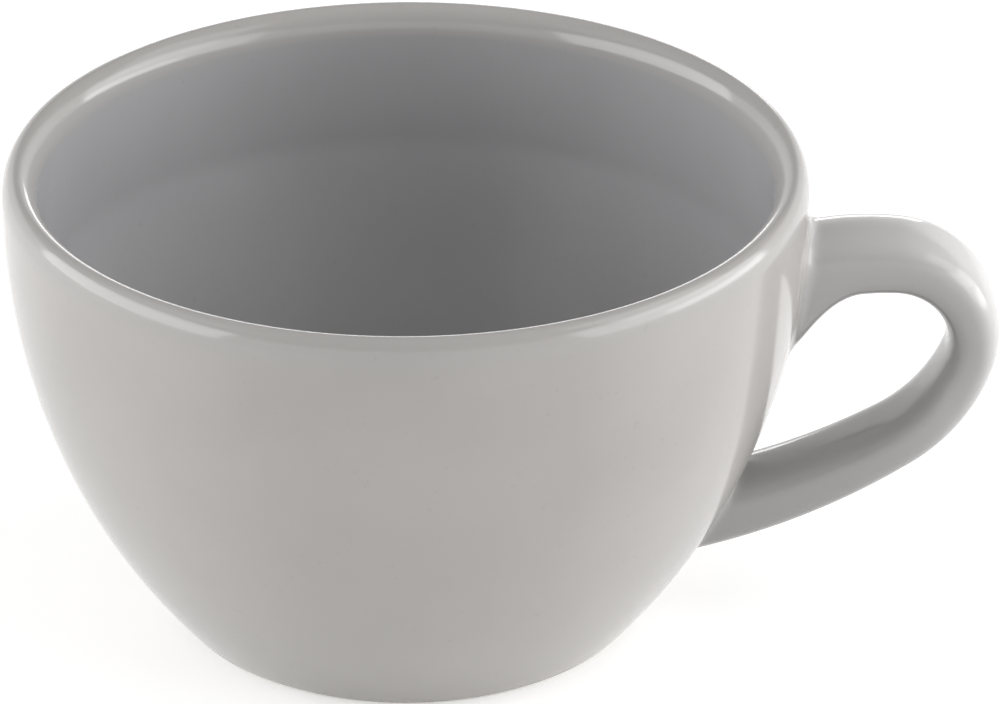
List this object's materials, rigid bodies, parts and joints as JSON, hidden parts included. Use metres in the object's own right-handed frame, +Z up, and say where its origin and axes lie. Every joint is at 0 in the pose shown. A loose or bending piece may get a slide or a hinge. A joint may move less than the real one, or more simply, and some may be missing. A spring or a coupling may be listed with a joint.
{
  "type": "cappuccino cup",
  "caption": "Wide stoneware cappuccino cup in pale warm grey glaze, with a rounded bowl, a soft lip, a low foot ring and a strap handle",
  "frame": {"origin": "centre of the foot ring's standing face, on the bowl's axis", "axes": "+Z up along the bowl's axis, +X from the axis through the middle of the handle"},
  "size_m": [0.1286, 0.104, 0.0632],
  "materials": {
    "fired_clay": "matte",
    "fired_slip": "matte",
    "grey_glaze": "gloss"
  },
  "bodies": {
    "root": {"cup_body": "fired_clay", "handle": "fired_clay", "upper_slip_joint": "fired_slip", "lower_slip_joint": "fired_slip", "glaze_coat": "grey_glaze", "base_glaze": "grey_glaze"}
  },
  "joints": []
}
